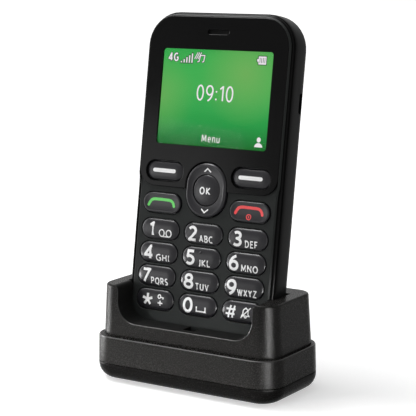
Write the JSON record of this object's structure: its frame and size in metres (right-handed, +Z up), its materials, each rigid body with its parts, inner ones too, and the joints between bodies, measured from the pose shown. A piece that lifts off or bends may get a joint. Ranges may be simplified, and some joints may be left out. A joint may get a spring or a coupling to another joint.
{
  "type": "keypad phone with charging cradle",
  "caption": "Keypad phone with a colour screen and large number keys, standing in a black desk charging cradle that it lifts out of.",
  "frame": {"origin": "middle of the cradle's foot pad, on the surface that it stands on", "axes": "+Z up, -Y the side that the keypad and screen face, +X to the right as the keypad is read"},
  "size_m": [0.0826, 0.0437, 0.1408],
  "materials": {
    "phone_shell": "fine-grained dark grey moulding",
    "panel_gloss": "glossy black front panel",
    "window_clear": "clear window over the screen",
    "screen": "green screen picture, lit from behind",
    "light_guide": "white light guide",
    "keys": "dark grey satin keys with white legends",
    "rubber_grey": "silicone key web",
    "rubber_black": "matte non-slip rubber",
    "steel": "plain steel",
    "gold": "gold-plated contacts",
    "board_green": "green circuit board",
    "part_dark": "dark inner mouldings",
    "camera_glass": "dark camera window",
    "battery_wrap": "pale battery wrap",
    "flex_amber": "amber flexible circuit",
    "cradle_black": "black moulding with a fine spark-eroded grain"
  },
  "bodies": {
    "cradle": {"cradle_cover": "cradle_black", "cradle_ring": "cradle_black", "bottom_tray": "cradle_black", "foot_pad": "rubber_black", "cradle_screws": "steel", "ballast_plate": "steel", "cradle_board": "board_green", "power_inlet": "steel", "contact_block": "part_dark", "contact_flex": "flex_amber"},
    "phone": {"front_housing": "phone_shell", "front_panel": "panel_gloss", "screen_window": "window_clear", "lcd_glass": "screen", "backlight": "light_guide", "earpiece_mesh": "part_dark", "earpiece": "steel", "microphone": "gold", "key_web": "rubber_grey", "dome_sheet": "steel", "main_board": "board_green", "shield_can": "steel", "vibration_motor": "steel", "loudspeaker": "part_dark", "camera_module": "part_dark", "camera_window": "camera_glass", "sim_holder": "steel", "battery_contacts": "gold", "battery_pack": "battery_wrap", "side_port": "steel", "antenna_strip": "flex_amber", "charge_contacts": "gold", "rear_housing": "phone_shell", "back_cover": "phone_shell", "housing_screws": "steel"},
    "key_1": {"key_1": "keys"},
    "key_2": {"key_2": "keys"},
    "key_3": {"key_3": "keys"},
    "key_4": {"key_4": "keys"},
    "key_5": {"key_5": "keys"},
    "key_6": {"key_6": "keys"},
    "key_7": {"key_7": "keys"},
    "key_8": {"key_8": "keys"},
    "key_9": {"key_9": "keys"},
    "key_star": {"key_star": "keys"},
    "key_0": {"key_0": "keys"},
    "key_hash": {"key_hash": "keys"},
    "soft_key_left": {"soft_key_left": "keys"},
    "soft_key_right": {"soft_key_right": "keys"},
    "call_key": {"call_key": "keys"},
    "end_key": {"end_key": "keys"},
    "ok_key": {"ok_key": "keys"},
    "nav_pad": {"nav_pad": "keys"},
    "volume_rocker": {"volume_rocker": "phone_shell"},
    "assist_key": {"assist_key": "phone_shell"},
    "contact_pin_left": {"contact_pin_left": "gold"},
    "contact_pin_right": {"contact_pin_right": "gold"}
  },
  "joints": [
    {"name": "phone_lift", "type": "slide", "parent": "cradle", "child": "phone", "axis": [0, 0.1623, 0.9867], "range_m": [0, 0.04]},
    {"name": "key_1_press", "type": "slide", "parent": "phone", "child": "key_1", "axis": [0, 0.9867, -0.1623], "range_m": [0, 0.00035], "stiffness_N_per_m": 1500},
    {"name": "key_2_press", "type": "slide", "parent": "phone", "child": "key_2", "axis": [0, 0.9867, -0.1623], "range_m": [0, 0.00035], "stiffness_N_per_m": 1500},
    {"name": "key_3_press", "type": "slide", "parent": "phone", "child": "key_3", "axis": [0, 0.9867, -0.1623], "range_m": [0, 0.00035], "stiffness_N_per_m": 1500},
    {"name": "key_4_press", "type": "slide", "parent": "phone", "child": "key_4", "axis": [0, 0.9867, -0.1623], "range_m": [0, 0.00035], "stiffness_N_per_m": 1500},
    {"name": "key_5_press", "type": "slide", "parent": "phone", "child": "key_5", "axis": [0, 0.9867, -0.1623], "range_m": [0, 0.00035], "stiffness_N_per_m": 1500},
    {"name": "key_6_press", "type": "slide", "parent": "phone", "child": "key_6", "axis": [0, 0.9867, -0.1623], "range_m": [0, 0.00035], "stiffness_N_per_m": 1500},
    {"name": "key_7_press", "type": "slide", "parent": "phone", "child": "key_7", "axis": [0, 0.9867, -0.1623], "range_m": [0, 0.00035], "stiffness_N_per_m": 1500},
    {"name": "key_8_press", "type": "slide", "parent": "phone", "child": "key_8", "axis": [0, 0.9867, -0.1623], "range_m": [0, 0.00035], "stiffness_N_per_m": 1500},
    {"name": "key_9_press", "type": "slide", "parent": "phone", "child": "key_9", "axis": [0, 0.9867, -0.1623], "range_m": [0, 0.00035], "stiffness_N_per_m": 1500},
    {"name": "key_star_press", "type": "slide", "parent": "phone", "child": "key_star", "axis": [0, 0.9867, -0.1623], "range_m": [0, 0.00035], "stiffness_N_per_m": 1500},
    {"name": "key_0_press", "type": "slide", "parent": "phone", "child": "key_0", "axis": [0, 0.9867, -0.1623], "range_m": [0, 0.00035], "stiffness_N_per_m": 1500},
    {"name": "key_hash_press", "type": "slide", "parent": "phone", "child": "key_hash", "axis": [0, 0.9867, -0.1623], "range_m": [0, 0.00035], "stiffness_N_per_m": 1500},
    {"name": "soft_key_left_press", "type": "slide", "parent": "phone", "child": "soft_key_left", "axis": [0, 0.9867, -0.1623], "range_m": [0, 0.00035], "stiffness_N_per_m": 1500},
    {"name": "soft_key_right_press", "type": "slide", "parent": "phone", "child": "soft_key_right", "axis": [0, 0.9867, -0.1623], "range_m": [0, 0.00035], "stiffness_N_per_m": 1500},
    {"name": "call_key_press", "type": "slide", "parent": "phone", "child": "call_key", "axis": [0, 0.9867, -0.1623], "range_m": [0, 0.00035], "stiffness_N_per_m": 1500},
    {"name": "end_key_press", "type": "slide", "parent": "phone", "child": "end_key", "axis": [0, 0.9867, -0.1623], "range_m": [0, 0.00035], "stiffness_N_per_m": 1500},
    {"name": "ok_key_press", "type": "slide", "parent": "phone", "child": "ok_key", "axis": [0, 0.9867, -0.1623], "range_m": [0, 0.00035], "stiffness_N_per_m": 1500},
    {"name": "nav_rock", "type": "hinge", "parent": "phone", "child": "nav_pad", "pos_m": [0, 0.00371, 0.07429], "axis": [1, 0, 0], "range_deg": [-1.2, 1.2], "stiffness_Nm_per_rad": 0.35},
    {"name": "volume_rock", "type": "hinge", "parent": "phone", "child": "volume_rocker", "pos_m": [-0.0309, 0.01287, 0.11211], "axis": [0, -0.9867, 0.1623], "range_deg": [-1.2, 1.2], "stiffness_Nm_per_rad": 0.3},
    {"name": "assist_key_press", "type": "slide", "parent": "phone", "child": "assist_key", "axis": [0, -0.9867, 0.1623], "range_m": [0, 0.00035], "stiffness_N_per_m": 1500},
    {"name": "contact_pin_left_slide", "type": "slide", "parent": "cradle", "child": "contact_pin_left", "axis": [0, -0.1623, -0.9867], "range_m": [0, 0.0008], "stiffness_N_per_m": 600},
    {"name": "contact_pin_right_slide", "type": "slide", "parent": "cradle", "child": "contact_pin_right", "axis": [0, -0.1623, -0.9867], "range_m": [0, 0.0008], "stiffness_N_per_m": 600}
  ]
}
